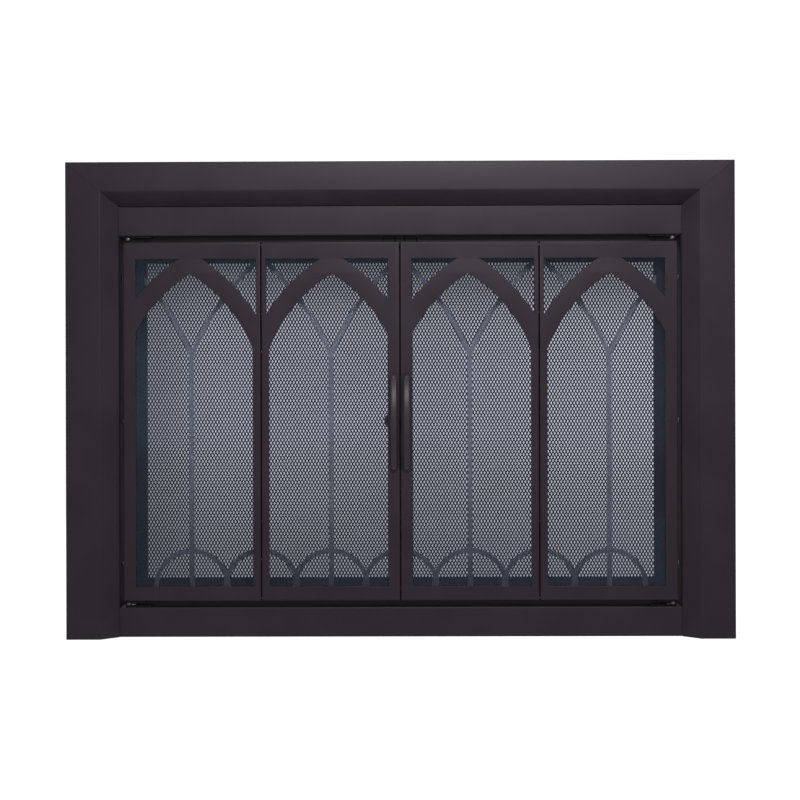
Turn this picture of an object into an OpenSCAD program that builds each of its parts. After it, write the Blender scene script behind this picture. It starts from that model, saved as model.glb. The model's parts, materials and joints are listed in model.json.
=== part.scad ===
// Built-in fireplace screen: a mitred surround on a steel box frame, two pairs of folding glass leaves
// with gothic fretwork, and a pair of mesh doors with gothic tracery behind them.
// The origin is at the middle of the front of the hearth line: +Z is up, the room is toward -Y, and the
// face of the masonry is the plane y = 0.

/* [Surround] */
// Width over the surround
outer_w = 1105; // [1101:1:1110]
// Height of the surround above the hearth
outer_h = 789; // [786:1:792]
// Width of the flat face of each side of the surround
side_flat = 57; // [54:0.5:60]
// Height of the flat face across the top of the surround
top_flat = 47.8; // [46:0.1:50]
// How far the surround stands out from the masonry
surround_d = 38; // [34:1:42]
// Depth at which the bevel ends, out from the masonry
bevel_end = 8; // [6:0.5:10]
// Thickness of the folded sheet steel
sheet = 1.5; // [1.2:0.1:2]

/* [Box frame] */
// Width over the box frame that stands inside the masonry opening
box_w = 938; // [938:1:938]
// Height of the box frame
box_h = 719; // [719:1:719]
// Height of the header rail and of the sill rail
rail_h = 49.5; // [47:0.5:52]
// How far the box frame stands out from the masonry
box_front = 6; // [4:0.5:8]
// Depth of the box frame behind the face of the masonry
box_back = 75; // [70:1:90]

/* [Glass leaves] */
// Width of each of the four leaves
leaf_w = 229.8; // [229.5:0.1:230]
// Height of the gap above and below the leaves that holds the corner pivots
pivot_gap = 10.5; // [10:0.1:11]
// Gap between the two pairs at the middle
meeting_gap = 3.3; // [3:0.1:4]
// Gap between the two leaves of a pair
fold_gap = 1.5; // [1.2:0.1:2]
// Width of the stile on the jamb side of an outer leaf
jamb_stile = 21; // [19:0.5:22]
// Width of the stile on the meeting side of an inner leaf
meeting_stile = 18; // [17:0.5:20]
// Width of the stile along the fold
fold_stile = 13; // [12:0.5:14]
// Width of the fold stile beside the spandrel openings
fold_stile_top = 7.5; // [7:0.5:9]
// Height of the top rail of a leaf
leaf_top_rail = 28; // [26:0.5:30]
// Height of the bottom rail of a leaf
leaf_bottom_rail = 23.4; // [22:0.1:26]
// Thickness of the fretted front plate of a leaf
fret_t = 2.5; // [2:0.1:3]
// Thickness of the glass
glass_t = 4; // [3.8:0.1:4.2]

/* [Leaf arch] */
// Distance of the arch's centre line from the fold edge
arch_mid = 117.6; // [116:0.1:119]
// Distance of each arc's centre from that centre line
arch_offset = 136; // [134:1:138]
// Radius of the inner edge of the arch band
arch_r = 257.5; // [256:0.5:259]
// Width of the arch band
arch_band = 31; // [29:0.5:33]
// Height of the arc centres above the foot of the leaf
arch_z = 327.3; // [325:0.1:330]

/* [Handles] */
// Length of a bow handle between the middles of its feet
handle_span = 148; // [140:1:156]
// Height of the middle of the handles above the hearth
handle_z = 357; // [345:1:370]
// How far the bow rises above its feet
handle_bow = 25; // [22:1:26]
// Diameter of the handle's bar
handle_d = 9; // [8:0.5:10]

/* [Mesh doors] */
// Distance between the mullions of the tracery and their neighbouring arches
tracery_pitch = 117.2; // [116:0.1:118]
// Width of the tracery's bars
tracery_w = 8.4; // [7:0.2:10]
// Height above the hearth at which each mullion splits in two
split_z = 470; // [465:1:475]
// Radius of the two branches above a mullion
branch_r = 439; // [435:1:443]
// Lean of a branch where it leaves its mullion, in degrees from upright
branch_lean = 22; // [21:0.5:23]
// Radius of the small arches along the bottom rail
foot_arch_r = 60.7; // [60:0.1:62]
// Height of the centres of the small arches
foot_arch_z = 80.3; // [79:0.1:82]
// Diameter of the mesh door's knob
knob_d = 28; // [26:1:28]

/* [Hardware] */
// Diameter of the corner pivot pins and the mesh door pins
pin_d = 6; // [6:0.5:6]
// Radial running clearance around every pin
running = 0.05; // [0.03:0.01:0.08]
// Diameter of the barrels of the fold hinges
barrel_d = 7; // [6.8:0.1:7.2]
// Height of a fold hinge
hinge_h = 60; // [50:2:70]
// Distance from the middle to each hearth anchor hole
anchor_x = 360; // [340:5:380]
// Distance from the middle to each lintel strap
strap_x = 300; // [280:5:320]

/* [Hidden] */
$fn = 96;

BRONZE = "#3b322f";
STEEL = "#8b8d8f";
ZINC = "#a9aaa8";
SMOKE = [0.2, 0.23, 0.27, 0.55];
BLACK = "#1b1a1a";

side_w = (outer_w - box_w) / 2;
top_w = outer_h - box_h;
mitre_slope = top_w / side_w;
header_z = box_h - rail_h;
leaf_z = rail_h + pivot_gap;
leaf_h = header_z - pivot_gap - leaf_z;
leaf_front = -4;
leaf_back = 8;
glass_y = leaf_front + fret_t;
pivot_x = 455;
pivot_y = (leaf_front + leaf_back) / 2;
fold_x = meeting_gap / 2 + leaf_w + fold_gap / 2;
fold_y = leaf_back + 4;
handle_x = meeting_gap / 2 + meeting_stile / 2;
trim_return = 24;
screw_y = 18;
pin_r = pin_d / 2;
plate_t = 3;
hinge_zs = [160, 508.5];
clip_zs = [50, leaf_h / 2, leaf_h - 90];
mesh_front = 28;
mesh_t = 1.6;
mesh_back = 36;
mesh_out = 447;
mesh_edges = [-1.7, 2.5];
mesh_low = 66;
mesh_high = 652;
mesh_open_out = 427;
mesh_open_in = 21;
mesh_open_low = 96;
mesh_open_high = 626;
mesh_pin_x = 441;
mesh_pin_y = 32.7;
ear_gap = 3;
knob_x = 13;
knob_z = 359;
mullions = [-3, -1];
foot_arches = [-3, -2, -1, 0];

// A plate cut from a flat outline in X and Z, between two depths.
module slab(y0, y1) {
    translate([0, y1, 0]) rotate([90, 0, 0]) linear_extrude(y1 - y0) children();
}

// A solid block between two corners.
module block(low, high) {
    translate(low) cube(high - low);
}

// A round bar along Y.
module rod_y(x, z, y0, y1, r) {
    translate([x, y1, z]) rotate([90, 0, 0]) cylinder(h = y1 - y0, r = r);
}

// A round bar along X.
module rod_x(y, z, x0, x1, r) {
    translate([x0, y, z]) rotate([0, 90, 0]) cylinder(h = x1 - x0, r = r);
}

// A round bar along Z.
module rod_z(x, y, z0, z1, r) {
    translate([x, y, z0]) cylinder(h = z1 - z0, r = r);
}

// The same shape on the left and on the right.
module both_sides() {
    children();
    mirror([1, 0, 0]) children();
}

// A shape drawn on the left, moved to the side that is asked for.
module on_side(side) {
    if (side < 0) children();
    else mirror([1, 0, 0]) children();
}

// ---- Surround ----

// Folded section of the surround: across its face from the outer edge, and the depth.
function surround_section(flat, wide) =
    let (lean = atan((surround_d - bevel_end) / (wide - flat)),
         face_fold = sheet * tan(lean / 2),
         edge_fold = sheet * tan((90 - lean) / 2),
         bearing = 12)
    [[0, 0], [0, -surround_d], [flat, -surround_d], [wide, -bevel_end], [wide, trim_return],
     [wide - sheet, trim_return], [wide - sheet, edge_fold - bevel_end],
     [flat - face_fold, sheet - surround_d], [sheet, sheet - surround_d], [sheet, -sheet],
     [bearing, -sheet], [bearing, 0]];

// The part of the front view that lies below the left mitre.
module below_mitre() {
    polygon([[-outer_w / 2 - 1, -1], [-outer_w / 2 - 1, outer_h + mitre_slope],
        [1 - box_w / 2, box_h - mitre_slope], [1 - box_w / 2, -1]]);
}

// The part of the front view that lies above both mitres.
module above_mitres() {
    polygon([[-outer_w / 2 - 1, outer_h + mitre_slope], [-box_w / 2 + 1, box_h - mitre_slope],
        [box_w / 2 - 1, box_h - mitre_slope], [outer_w / 2 + 1, outer_h + mitre_slope]]);
}

module surround_side() {
    color(BRONZE) difference() {
        intersection() {
            translate([-outer_w / 2, 0]) linear_extrude(outer_h)
                polygon(surround_section(side_flat, side_w));
            slab(-surround_d - 1, trim_return + 1) below_mitre();
        }
        side_screw_holes();
    }
}

module surround_top() {
    color(BRONZE) difference() {
        intersection() {
            translate([-outer_w / 2, 0, 0]) rotate([90, 0, 90]) linear_extrude(outer_w)
                polygon([for (p = surround_section(top_flat, top_w)) [p[1], outer_h - p[0]]]);
            slab(-surround_d - 1, trim_return + 1) above_mitres();
        }
        top_screw_holes();
    }
}

// Flat angles that hold the two mitres together behind the face.
module corner_brackets() {
    leg = 40;
    reach = 104;
    inset = 8;
    back = sheet - surround_d;
    color(ZINC) both_sides() slab(back, back + 2.5) polygon([
        [inset - outer_w / 2, outer_h - inset], [inset + reach - outer_w / 2, outer_h - inset],
        [inset + reach - outer_w / 2, outer_h - leg], [leg + inset - outer_w / 2, outer_h - leg],
        [leg + inset - outer_w / 2, outer_h - reach], [inset - outer_w / 2, outer_h - reach]]);
}

side_screw_zs = [120, 360, 600];
top_screw_xs = [-200, 0, 200];
screw_r = 2.1;
screw_head_r = 4;
screw_head_h = 2;

module side_screw_holes() {
    for (z = side_screw_zs) rod_x(screw_y, z, -box_w / 2 - 3, sheet + 1 - box_w / 2, screw_r);
}

module top_screw_holes() {
    for (x = top_screw_xs) rod_z(x, screw_y, box_h - sheet - 1, box_h + 3, screw_r);
}

module surround_screws() {
    inner = sheet - box_w / 2;
    under = box_h - sheet;
    color(ZINC) both_sides() for (z = side_screw_zs) {
        rod_x(screw_y, z, inner - 5.5, inner, screw_r);
        rod_x(screw_y, z, inner, inner + screw_head_h, screw_head_r);
    }
    color(ZINC) for (x = top_screw_xs) {
        rod_z(x, screw_y, under, under + 5.5, screw_r);
        rod_z(x, screw_y, under - screw_head_h, under, screw_head_r);
    }
}

// ---- Box frame ----

bolt_r = 2.5;
tab_x = box_w / 2 - 10;
tab_y = 57;
strap_screw_ys = [36, 60];

// Channel with its open side to the rear, along X.
module channel(z0, z1) {
    translate([-box_w / 2, 0, 0]) rotate([90, 0, 90]) linear_extrude(box_w) polygon([
        [-box_front, z0], [box_back, z0], [box_back, z0 + sheet], [sheet - box_front, z0 + sheet],
        [sheet - box_front, z1 - sheet], [box_back, z1 - sheet], [box_back, z1], [-box_front, z1]]);
}

module header_rail() {
    color(BRONZE) difference() {
        channel(header_z, box_h);
        both_sides() rod_z(-tab_x, tab_y, header_z - 1, header_z + sheet + 1, bolt_r);
        both_sides() for (y = strap_screw_ys) rod_z(-strap_x, y, box_h - sheet - 1, box_h + 1, bolt_r);
        top_screw_holes();
    }
}

module sill_rail() {
    color(BRONZE) difference() {
        channel(0, rail_h);
        both_sides() rod_z(-tab_x, tab_y, rail_h - sheet - 1, rail_h + 1, bolt_r);
    }
}

// Side plate of the box frame, with a tab at each end that is screwed to the rails.
module jamb() {
    tab_w = 18;
    edge = -box_w / 2;
    color(BLACK) difference() {
        union() {
            block([edge, -box_front, rail_h], [edge + sheet, box_back, header_z]);
            block([edge, tab_y - 12, rail_h], [edge + tab_w, tab_y + 12, rail_h + sheet]);
            block([edge, tab_y - 12, header_z - sheet], [edge + tab_w, tab_y + 12, header_z]);
        }
        side_screw_holes();
        rod_z(-tab_x, tab_y, rail_h - 1, rail_h + sheet + 1, bolt_r);
        rod_z(-tab_x, tab_y, header_z - sheet - 1, header_z + 1, bolt_r);
    }
}

// Pan-head screw whose head faces +Z and whose shank reaches down from the seat.
module frame_screw(x, y, seat, down) {
    shank = 8;
    head = 2.6;
    rod_z(x, y, min(seat, seat - down * shank), max(seat, seat - down * shank), bolt_r);
    rod_z(x, y, min(seat, seat + down * head), max(seat, seat + down * head), 4.6);
}

module frame_screws() {
    color(ZINC) both_sides() {
        frame_screw(-tab_x, tab_y, rail_h + sheet, 1);
        frame_screw(-tab_x, tab_y, header_z - sheet, -1);
        for (y = strap_screw_ys) frame_screw(-strap_x, y, box_h + 4, 1);
    }
}

stop_y = 9.5;
magnet_x = [8, 28];
magnet_z = 653.5;

// Angles behind the gaps above and below the leaves, which the leaves close against. The lower one has a
// tab behind the foot of the gap between the pairs.
module stop_angles() {
    reach = 445;
    color(BLACK) difference() {
        union() {
            block([-reach, stop_y, header_z - 14.5], [reach, stop_y + sheet, header_z]);
            block([-reach, stop_y, header_z - sheet], [reach, stop_y + 12, header_z]);
        }
        both_sides() block([-magnet_x[1] - 1, stop_y - 2, magnet_z - 2],
            [-magnet_x[0] + 1, stop_y + 13, header_z + 1]);
    }
    color(BLACK) union() {
        block([-reach, stop_y, rail_h], [reach, stop_y + sheet, rail_h + 13.5]);
        block([-reach, stop_y, rail_h], [reach, stop_y + 12, rail_h + sheet]);
        block([-6, stop_y, rail_h], [6, stop_y + sheet, rail_h + 19]);
    }
}

// Each magnet's housing has a flange behind the stop angle, which closes the slot round it.
module leaf_magnets() {
    color(BLACK) both_sides() union() {
        block([-magnet_x[1], leaf_back + 0.3, magnet_z], [-magnet_x[0], stop_y + 12, header_z]);
        block([-magnet_x[1] - 3, stop_y + sheet + 0.3, magnet_z],
            [-magnet_x[0] + 3, stop_y + sheet + 1.8, header_z - sheet - 0.3]);
    }
}

module mesh_magnet() {
    color(BLACK) block([-25, mesh_back + 0.4, 640], [25, mesh_back + 14, header_z]);
}

// ---- Corner pivots ----

plate_w = 10;

// A flat plate around the pivot, with a round end, that reaches toward the middle of the screen.
module pivot_plate(z0, reach) {
    rod_z(-pivot_x, pivot_y, z0, z0 + plate_t, plate_w / 2);
    block([-pivot_x, pivot_y - plate_w / 2, z0], [reach - pivot_x, pivot_y + plate_w / 2, z0 + plate_t]);
}

module pivot_plates() {
    color(BLACK) both_sides() for (z = [rail_h, header_z - plate_t]) difference() {
        pivot_plate(z, 40);
        rod_z(-pivot_x, pivot_y, z - 1, z + plate_t + 1, pin_r + running);
    }
}

module pivot_bushes() {
    gap = 0.05;
    low = rail_h + plate_t;
    high = header_z - plate_t;
    tall = pivot_gap - 2 * plate_t - gap;
    color(STEEL) both_sides() for (z = [low, high - tall]) difference() {
        rod_z(-pivot_x, pivot_y, z, z + tall, plate_w / 2);
        rod_z(-pivot_x, pivot_y, z - 1, z + tall + 1, pin_r + running);
    }
}

// Plates on the top and the foot of an outer leaf, each with its riveted pin.
module leaf_pivots(side) {
    short = 0.1;
    top = leaf_z + leaf_h;
    color(BLACK) on_side(side) {
        union() {
            pivot_plate(top, 28);
            rod_z(-pivot_x, pivot_y, top, header_z - short, pin_r);
        }
        union() {
            pivot_plate(leaf_z - plate_t, 28);
            rod_z(-pivot_x, pivot_y, rail_h + short, leaf_z, pin_r);
        }
    }
}

// Ears on the rails that hold the mesh doors' pins.
module mesh_brackets() {
    half = 8;
    front = 26;
    leg = 47;
    foot = 62;
    low = mesh_low - ear_gap;
    high = mesh_high + ear_gap;
    color(BLACK) both_sides() for (ear = [[low - plate_t, rail_h], [high, header_z - plate_t]])
        difference() {
            union() {
                block([-mesh_pin_x - half, front, ear[0]], [half - mesh_pin_x, leg + plate_t, ear[0] + plate_t]);
                block([-mesh_pin_x - half, leg, min(ear)], [half - mesh_pin_x, leg + plate_t, max(ear) + plate_t]);
                block([-mesh_pin_x - half, leg, ear[1]], [half - mesh_pin_x, foot, ear[1] + plate_t]);
            }
            rod_z(-mesh_pin_x, mesh_pin_y, ear[0] - 1, ear[0] + plate_t + 1, pin_r + running);
        }
}

// ---- Fixing to the masonry ----

clamp_z = 750;
clamp_y = 106;
clamp_t = 4;

// Straps on the header that hook up behind the lintel.
module lintel_straps() {
    half = 12.5;
    color(ZINC) both_sides() difference() {
        union() {
            block([-strap_x - half, 28, box_h], [half - strap_x, clamp_y + clamp_t, box_h + clamp_t]);
            block([-strap_x - half, clamp_y, box_h], [half - strap_x, clamp_y + clamp_t, clamp_z + 15]);
        }
        for (y = strap_screw_ys) rod_z(-strap_x, y, box_h - 1, box_h + clamp_t + 1, bolt_r);
        rod_y(-strap_x, clamp_z, clamp_y - 1, clamp_y + clamp_t + 1, 4);
    }
}

// Bolts that press forward on the lintel through a round pad.
module lintel_bolts() {
    color(ZINC) both_sides() union() {
        rod_y(-strap_x, clamp_z, 84, 124, 4);
        rod_y(-strap_x, clamp_z, 81, 84, 10);
    }
}

module lintel_nuts() {
    across = 15;
    color(ZINC) both_sides() difference() {
        translate([-strap_x, clamp_y + clamp_t + 6.5, clamp_z]) rotate([90, 0, 0])
            cylinder(h = 6.5, d = across, $fn = 6);
        rod_y(-strap_x, clamp_z, clamp_y, clamp_y + 20, 4);
    }
}

anchor_y = 98;

// Joggled plates fixed inside the sill, with an anchor hole behind it.
module hearth_brackets() {
    half = 20;
    color(ZINC) both_sides() difference() {
        union() {
            block([-anchor_x - half, 40, sheet], [half - anchor_x, 79, sheet + plate_t]);
            block([-anchor_x - half, box_back + 0.2, 0], [half - anchor_x, 116, plate_t]);
        }
        rod_z(-anchor_x, anchor_y, -1, plate_t + 1, 4);
    }
}

// ---- Glass leaves ----

// Moves a leaf drawn from its fold edge at x = 0 toward its free side to its place.
module place_leaf(side, outer) {
    edge = fold_x + (outer ? fold_gap / 2 : -fold_gap / 2);
    on_side(side) translate([-edge, 0, leaf_z])
        if (outer) mirror([1, 0, 0]) children();
        else children();
}

function free_stile(outer) = outer ? jamb_stile : meeting_stile;

module arch_circle(dir, r) {
    translate([arch_mid + dir * arch_offset, arch_z]) circle(r = r, $fn = 360);
}

// The glazed opening with its pointed head.
module window(outer) {
    wide = leaf_w - fold_stile - free_stile(outer);
    intersection() {
        translate([fold_stile, leaf_bottom_rail]) square([wide, leaf_h]);
        union() {
            translate([0, 0]) square([leaf_w, arch_z]);
            intersection() {
                arch_circle(1, arch_r);
                arch_circle(-1, arch_r);
                translate([0, arch_z - 1]) square([leaf_w, leaf_h]);
            }
        }
    }
}

// The two three-cornered openings above the arch band.
module spandrels(outer) {
    top = leaf_h - leaf_top_rail;
    difference() {
        translate([fold_stile_top, arch_z]) square([arch_mid - fold_stile_top, top - arch_z]);
        arch_circle(1, arch_r + arch_band);
    }
    difference() {
        translate([arch_mid, arch_z])
            square([leaf_w - free_stile(outer) - arch_mid, top - arch_z]);
        arch_circle(-1, arch_r + arch_band);
    }
}

// Strip on the rear of an outer leaf that closes the fold gap from behind, between the hinges.
module fold_guard() {
    lap = 0.6;
    away = leaf_back + 0.5;
    difference() {
        union() {
            block([-fold_gap - lap, away, 3.5], [3, away + 1, leaf_h - 4.5]);
            block([0, leaf_back - sheet, 3.5], [3, away + 1, leaf_h - 4.5]);
        }
        for (z = hinge_zs) translate([0, 0, z - leaf_z - hinge_h / 2])
            block([-fold_gap - 2, leaf_back, -2.5], [4, leaf_back + 4, hinge_h + 2.5]);
    }
}

module leaf_frame(side, outer) {
    handle_u = leaf_w - meeting_stile / 2;
    color(BRONZE) place_leaf(side, outer) difference() {
        union() {
            slab(leaf_front, glass_y) difference() {
                square([leaf_w, leaf_h]);
                window(outer);
                spandrels(outer);
            }
            slab(leaf_front, leaf_back) difference() {
                square([leaf_w, leaf_h]);
                translate([sheet, sheet]) square([leaf_w - 2 * sheet, leaf_h - 2 * sheet]);
            }
            slab(leaf_back - sheet, leaf_back) square([fold_stile_top, leaf_h]);
            if (outer) fold_guard();
        }
        if (!outer) for (dir = [-1, 1])
            rod_y(handle_u, handle_z - leaf_z + dir * handle_span / 2, leaf_front - 1, glass_y + 1, 2);
    }
}

module leaf_glass(side, outer) {
    margin = 5;
    over = 4;
    color(SMOKE) place_leaf(side, outer) slab(glass_y, glass_y + glass_t)
        translate([over, margin])
            square([leaf_w - free_stile(outer), leaf_h - 2 * margin]);
}

// Spring clips that press the glass against the front plate.
module leaf_clips(side, outer) {
    clip_h = 18;
    strip = 1.5;
    grip = 3.5;
    seat = glass_y + glass_t;
    glass_edge = leaf_w - free_stile(outer) + 4;
    color(ZINC) place_leaf(side, outer) for (z = clip_zs) {
        union() {
            block([glass_edge - grip, seat, z], [leaf_w - sheet, seat + strip, z + clip_h]);
            block([leaf_w - sheet - strip, seat, z], [leaf_w - sheet, leaf_back, z + clip_h]);
        }
        union() {
            block([sheet, seat, z], [4 + grip, seat + strip, z + clip_h]);
            block([sheet, seat, z], [sheet + strip, leaf_back - sheet, z + clip_h]);
        }
    }
}

// Butt hinges on the rear of the fold: the outer leaf carries the end knuckles, the inner the middle.
module fold_hinges(side, outer) {
    knuckle = hinge_h / 4;
    slack = 0.5;
    barrel_r = barrel_d / 2;
    own = outer ? [[0, knuckle - slack], [hinge_h - knuckle + slack, hinge_h]]
                : [[knuckle + slack, hinge_h - knuckle - slack]];
    other = outer ? [[knuckle - slack, hinge_h - knuckle + slack]]
                  : [[-1, knuckle + slack], [hinge_h - knuckle - slack, hinge_h + 1]];
    color(BLACK) place_leaf(side, outer) for (z = hinge_zs) translate([0, 0, z - leaf_z - hinge_h / 2])
        difference() {
            union() {
                block([0.5, leaf_back, 0], [fold_stile - 1, leaf_back + 2, hinge_h]);
                for (k = own) rod_z(-fold_gap / 2, fold_y, k[0], k[1], barrel_r);
            }
            for (k = other) rod_z(-fold_gap / 2, fold_y, k[0], k[1], barrel_r + 0.8);
            rod_z(-fold_gap / 2, fold_y, -1, hinge_h + 1, 2 + running);
        }
}

module fold_pins(side) {
    color(STEEL) on_side(side) for (z = hinge_zs) union() {
        rod_z(-fold_x, fold_y, z - hinge_h / 2, z + hinge_h / 2, 2);
        rod_z(-fold_x, fold_y, z + hinge_h / 2, z + hinge_h / 2 + 2, 3);
        rod_z(-fold_x, fold_y, z - hinge_h / 2 - 2, z - hinge_h / 2, 3);
    }
}

// Bow handle: one round bar bent to an arc, standing on two round feet.
module handle(side) {
    foot_h = 5;
    foot_r = 5.5;
    half = handle_span / 2;
    bow_r = (half * half + handle_bow * handle_bow) / (2 * handle_bow);
    sweep = asin(half / bow_r);
    foot_y = leaf_front - 3;
    color(BRONZE) on_side(side) difference() {
        union() {
            intersection() {
                translate([-handle_x, foot_y - handle_bow + bow_r, handle_z]) rotate([0, 90, 0])
                    rotate([0, 0, -90 - sweep - 2]) rotate_extrude(angle = 2 * sweep + 4)
                        translate([bow_r, 0]) circle(d = handle_d);
                block([-handle_x - 20, -60, handle_z - 100], [20 - handle_x, leaf_front, handle_z + 100]);
            }
            for (dir = [-1, 1])
                rod_y(-handle_x, handle_z + dir * half, leaf_front - foot_h, leaf_front, foot_r);
        }
        for (dir = [-1, 1])
            rod_y(-handle_x, handle_z + dir * half, leaf_front - 7, leaf_front + 1, 2);
    }
}

module handle_screws(side) {
    color(ZINC) on_side(side) for (dir = [-1, 1]) union() {
        rod_y(-handle_x, handle_z + dir * handle_span / 2, leaf_front - 7, glass_y, 2);
        rod_y(-handle_x, handle_z + dir * handle_span / 2, glass_y, glass_y + 2.2, 4);
    }
}

// Steel plate inside the top corner of an inner leaf that the magnet holds.
module strike(side) {
    top = leaf_z + leaf_h - sheet;
    color(ZINC) on_side(side)
        block([-magnet_x[1], leaf_back - sheet, top - 18], [-magnet_x[0], leaf_back, top]);
}

// ---- Mesh doors ----

module mesh_outline(low_x, high_x, low_z, high_z) {
    translate([low_x, low_z]) square([high_x - low_x, high_z - low_z]);
}

// Frame of a mesh door. The left door reaches past the middle, so that it closes the gap between the leaves.
module mesh_frame(side) {
    mesh_in = mesh_edges[side < 0 ? 0 : 1];
    color(BRONZE) on_side(side) difference() {
        union() {
            slab(mesh_front, mesh_front + mesh_t) difference() {
                mesh_outline(-mesh_out, -mesh_in, mesh_low, mesh_high);
                mesh_outline(-mesh_open_out, -mesh_open_in, mesh_open_low, mesh_open_high);
            }
            slab(mesh_front, mesh_back) difference() {
                mesh_outline(-mesh_out, -mesh_in, mesh_low, mesh_high);
                mesh_outline(mesh_t - mesh_out, -mesh_in - mesh_t, mesh_low + mesh_t, mesh_high - mesh_t);
            }
        }
        rod_z(-mesh_pin_x, mesh_pin_y, mesh_low - 1, mesh_high + 1, pin_r);
        if (side < 0) rod_y(-knob_x, knob_z, mesh_front - 1, mesh_front + mesh_t + 1, 2);
    }
}

module ring(r, w) {
    difference() {
        circle(r = r + w / 2, $fn = 360);
        circle(r = r - w / 2, $fn = 360);
    }
}

// One branch of the tracery, from the top of a mullion to the point above the next light.
module branch(dir) {
    rise = branch_r * (sin(acos(cos(branch_lean) - tracery_pitch / branch_r)) - sin(branch_lean));
    intersection() {
        translate([dir * branch_r * cos(branch_lean), -branch_r * sin(branch_lean)])
            ring(branch_r, tracery_w);
        translate([dir > 0 ? 0 : -tracery_pitch, -tracery_w])
            square([tracery_pitch, rise + 2 * tracery_w]);
    }
}

module mesh_tracery(side) {
    overlap = 4;
    foot = mesh_open_low - 16;
    head = mesh_open_high + 12;
    color(STEEL) on_side(side) slab(mesh_front - mesh_t, mesh_front) intersection() {
        mesh_outline(-mesh_open_out - overlap, overlap - mesh_open_in, foot, head);
        union() {
            for (k = mullions) translate([k * tracery_pitch, 0]) {
                translate([-tracery_w / 2, foot]) square([tracery_w, split_z - foot]);
                for (dir = [-1, 1]) translate([0, split_z]) branch(dir);
            }
            for (k = foot_arches) translate([k * tracery_pitch, foot_arch_z])
                ring(foot_arch_r, tracery_w);
        }
    }
}

module mesh_cloth(side) {
    overlap = 3;
    color(STEEL) on_side(side) slab(mesh_front + mesh_t, mesh_front + 2 * mesh_t)
        mesh_outline(-mesh_open_out - overlap, overlap - mesh_open_in,
            mesh_open_low - overlap, mesh_open_high + overlap);
}

// Strips that clamp the edges of the mesh to the back of the frame.
module mesh_retainers(side) {
    wide = 4.4;
    apart = 0.4;
    seat = mesh_front + 2 * mesh_t;
    low = mesh_open_low - wide;
    high = mesh_open_high + wide;
    color(BLACK) on_side(side) slab(seat, seat + mesh_t) {
        mesh_outline(-mesh_open_out - wide, -mesh_open_out, low, high);
        mesh_outline(-mesh_open_in, wide - mesh_open_in, low, high);
        mesh_outline(apart - mesh_open_out, -mesh_open_in - apart, low, mesh_open_low);
        mesh_outline(apart - mesh_open_out, -mesh_open_in - apart, mesh_open_high, high);
    }
}

// Pins with collars at the top and the foot of a mesh door's hinge stile.
module mesh_pins(side) {
    grip = 10;
    collar = ear_gap - 0.1;
    color(STEEL) on_side(side) {
        union() {
            rod_z(-mesh_pin_x, mesh_pin_y, mesh_high - grip, mesh_high + ear_gap + 4, pin_r);
            rod_z(-mesh_pin_x, mesh_pin_y, mesh_high, mesh_high + collar, 5);
        }
        union() {
            rod_z(-mesh_pin_x, mesh_pin_y, mesh_low - ear_gap - 4, mesh_low + grip, pin_r);
            rod_z(-mesh_pin_x, mesh_pin_y, mesh_low - collar, mesh_low, 5);
        }
    }
}

module mesh_knob() {
    crown = 4;
    head_y = 14;
    r = knob_d / 2;
    color(BLACK) difference() {
        translate([-knob_x, mesh_front, knob_z]) rotate([90, 0, 0]) rotate_extrude() polygon([
            [0, 0], [6, 0], [5, 3], [5, 6], [r - 3, mesh_front - head_y - crown - 2],
            [r, mesh_front - head_y - crown], [r - 1, mesh_front - head_y - 1.6],
            [r - 4, mesh_front - head_y], [0, mesh_front - head_y]]);
        rod_y(-knob_x, knob_z, mesh_front - 6, mesh_front + 1, 2);
    }
}

module mesh_knob_screw() {
    color(ZINC) union() {
        rod_y(-knob_x, knob_z, mesh_front - 6, mesh_front + mesh_t, 2);
        rod_y(-knob_x, knob_z, mesh_front + mesh_t, mesh_front + mesh_t + 1.8, 3.4);
    }
}

surround_side();  // surround_left
mirror([1, 0, 0]) surround_side();  // surround_right
surround_top();
corner_brackets();
surround_screws();
header_rail();
sill_rail();
jamb();  // left_jamb
mirror([1, 0, 0]) jamb();  // right_jamb
frame_screws();
stop_angles();
pivot_plates();
pivot_bushes();
mesh_brackets();
leaf_magnets();
mesh_magnet();
lintel_straps();
lintel_bolts();
lintel_nuts();
hearth_brackets();
leaf_frame(-1, true);  // left_outer_frame
leaf_glass(-1, true);  // left_outer_glass
leaf_clips(-1, true);  // left_outer_clips
leaf_pivots(-1);  // left_pivots
fold_hinges(-1, true);  // left_outer_hinges
fold_pins(-1);  // left_fold_pins
leaf_frame(-1, false);  // left_inner_frame
leaf_glass(-1, false);  // left_inner_glass
leaf_clips(-1, false);  // left_inner_clips
fold_hinges(-1, false);  // left_inner_hinges
handle(-1);  // left_handle
handle_screws(-1);  // left_handle_screws
strike(-1);  // left_strike
leaf_frame(1, true);  // right_outer_frame
leaf_glass(1, true);  // right_outer_glass
leaf_clips(1, true);  // right_outer_clips
leaf_pivots(1);  // right_pivots
fold_hinges(1, true);  // right_outer_hinges
fold_pins(1);  // right_fold_pins
leaf_frame(1, false);  // right_inner_frame
leaf_glass(1, false);  // right_inner_glass
leaf_clips(1, false);  // right_inner_clips
fold_hinges(1, false);  // right_inner_hinges
handle(1);  // right_handle
handle_screws(1);  // right_handle_screws
strike(1);  // right_strike
mesh_frame(-1);  // left_mesh_frame
mesh_tracery(-1);  // left_mesh_tracery
mesh_cloth(-1);  // left_mesh_cloth
mesh_retainers(-1);  // left_mesh_retainers
mesh_pins(-1);  // left_mesh_pins
mesh_knob();
mesh_knob_screw();
mesh_frame(1);  // right_mesh_frame
mesh_tracery(1);  // right_mesh_tracery
mesh_cloth(1);  // right_mesh_cloth
mesh_retainers(1);  // right_mesh_retainers
mesh_pins(1);  // right_mesh_pins
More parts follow.
